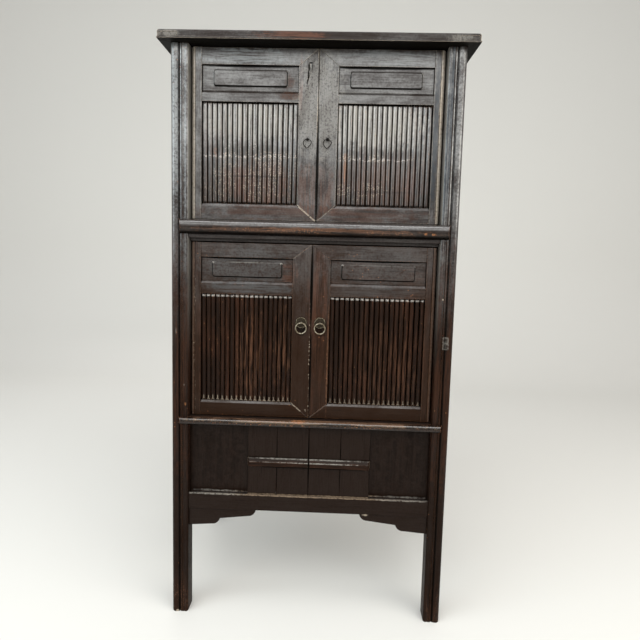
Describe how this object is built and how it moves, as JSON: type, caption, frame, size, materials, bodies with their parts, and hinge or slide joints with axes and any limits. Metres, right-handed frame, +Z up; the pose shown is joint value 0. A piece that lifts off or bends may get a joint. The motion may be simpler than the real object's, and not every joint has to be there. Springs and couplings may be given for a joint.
{
  "type": "food cabinet",
  "caption": "Tall lacquered food cabinet with leaning posts, slatted swing doors on wooden pivots in two tiers, and a low compartment with sliding doors.",
  "frame": {"origin": "on the floor under the middle of the top", "axes": "+X to the right seen from the front, +Y to the back, +Z up"},
  "size_m": [0.888, 0.674, 1.79],
  "materials": {
    "post_lacquer": "worn satin lacquer",
    "top_lacquer": "worn satin lacquer",
    "upper_door_lacquer": "worn satin lacquer",
    "lower_door_lacquer": "worn satin lacquer",
    "slat_lacquer": "worn satin lacquer",
    "worn_moulding_lacquer": "polished by wear",
    "base_lacquer": "dull lacquer",
    "inner_wood": "dull stained wood",
    "worn_brass": "dulled",
    "dark_iron": "dark, hand drawn"
  },
  "bodies": {
    "carcass": {"back_left_post": "post_lacquer", "back_panels": "inner_wood", "back_rails": "inner_wood", "back_right_post": "post_lacquer", "bottom_floor": "inner_wood", "bottom_rail": "base_lacquer", "fixed_panels": "base_lacquer", "front_left_post": "post_lacquer", "front_right_post": "post_lacquer", "ledge_moulding": "worn_moulding_lacquer", "ledge_rail": "inner_wood", "left_bracket": "base_lacquer", "left_side_panels": "inner_wood", "left_side_rails": "inner_wood", "mid_moulding": "worn_moulding_lacquer", "mid_rail": "inner_wood", "middle_floor": "inner_wood", "right_bracket": "base_lacquer", "right_side_panels": "inner_wood", "right_side_rails": "inner_wood", "top_back_member": "top_lacquer", "top_front_member": "top_lacquer", "top_left_member": "top_lacquer", "top_panel": "top_lacquer", "top_right_member": "top_lacquer", "upper_floor": "inner_wood"},
    "upper_left_door": {"upper_left_door_meeting_stile": "upper_door_lacquer", "upper_left_door_panel": "upper_door_lacquer", "upper_left_door_pivot_stile": "upper_door_lacquer", "upper_left_door_rails": "upper_door_lacquer", "upper_left_door_slats": "slat_lacquer", "upper_left_pull_eye": "dark_iron"},
    "upper_left_pull": {"upper_left_pull_loop": "dark_iron"},
    "upper_right_door": {"upper_right_door_meeting_stile": "upper_door_lacquer", "upper_right_door_panel": "upper_door_lacquer", "upper_right_door_pivot_stile": "upper_door_lacquer", "upper_right_door_rails": "upper_door_lacquer", "upper_right_door_slats": "slat_lacquer", "upper_right_pull_eye": "dark_iron"},
    "upper_right_pull": {"upper_right_pull_loop": "dark_iron"},
    "lower_left_door": {"lower_left_door_meeting_stile": "lower_door_lacquer", "lower_left_door_panel": "lower_door_lacquer", "lower_left_door_pivot_stile": "lower_door_lacquer", "lower_left_door_rails": "lower_door_lacquer", "lower_left_door_slats": "slat_lacquer", "lower_left_pull_eye": "worn_brass", "lower_left_pull_plate": "worn_brass"},
    "lower_left_pull": {"lower_left_pull_ring": "worn_brass"},
    "lower_right_door": {"lower_right_door_meeting_stile": "lower_door_lacquer", "lower_right_door_panel": "lower_door_lacquer", "lower_right_door_pivot_stile": "lower_door_lacquer", "lower_right_door_rails": "lower_door_lacquer", "lower_right_door_slats": "slat_lacquer", "lower_right_pull_eye": "worn_brass", "lower_right_pull_plate": "worn_brass"},
    "lower_right_pull": {"lower_right_pull_ring": "worn_brass"},
    "left_sliding_door": {"left_sliding_batten": "base_lacquer", "left_sliding_boards": "base_lacquer"},
    "right_sliding_door": {"right_sliding_batten": "base_lacquer", "right_sliding_boards": "base_lacquer"}
  },
  "joints": [
    {"name": "upper_left_door_hinge", "type": "hinge", "parent": "carcass", "child": "upper_left_door", "pos_m": [-0.374, -0.278, 0], "axis": [-0.0147, 0, -0.9999], "range_deg": [0, 100]},
    {"name": "upper_right_door_hinge", "type": "hinge", "parent": "carcass", "child": "upper_right_door", "pos_m": [0.374, -0.278, 0], "axis": [-0.0147, 0, 0.9999], "range_deg": [0, 100]},
    {"name": "lower_left_door_hinge", "type": "hinge", "parent": "carcass", "child": "lower_left_door", "pos_m": [-0.374, -0.278, 0], "axis": [-0.0147, 0, -0.9999], "range_deg": [0, 100]},
    {"name": "lower_right_door_hinge", "type": "hinge", "parent": "carcass", "child": "lower_right_door", "pos_m": [0.374, -0.278, 0], "axis": [-0.0147, 0, 0.9999], "range_deg": [0, 100]},
    {"name": "upper_left_pull_swing", "type": "hinge", "parent": "upper_left_door", "child": "upper_left_pull", "pos_m": [-0.02475, -0.2965, 1.515], "axis": [-1, 0, 0], "range_deg": [0, 95]},
    {"name": "upper_right_pull_swing", "type": "hinge", "parent": "upper_right_door", "child": "upper_right_pull", "pos_m": [0.03275, -0.2965, 1.515], "axis": [-1, 0, 0], "range_deg": [0, 95]},
    {"name": "lower_left_pull_swing", "type": "hinge", "parent": "lower_left_door", "child": "lower_left_pull", "pos_m": [-0.03275, -0.2965, 0.979], "axis": [-1, 0, 0], "range_deg": [0, 95]},
    {"name": "lower_right_pull_swing", "type": "hinge", "parent": "lower_right_door", "child": "lower_right_pull", "pos_m": [0.02475, -0.2965, 0.979], "axis": [-1, 0, 0], "range_deg": [0, 95]},
    {"name": "left_sliding_door_slide", "type": "slide", "parent": "carcass", "child": "left_sliding_door", "axis": [-1, 0, 0], "range_m": [0, 0.184]},
    {"name": "right_sliding_door_slide", "type": "slide", "parent": "carcass", "child": "right_sliding_door", "axis": [1, 0, 0], "range_m": [0, 0.184]}
  ]
}
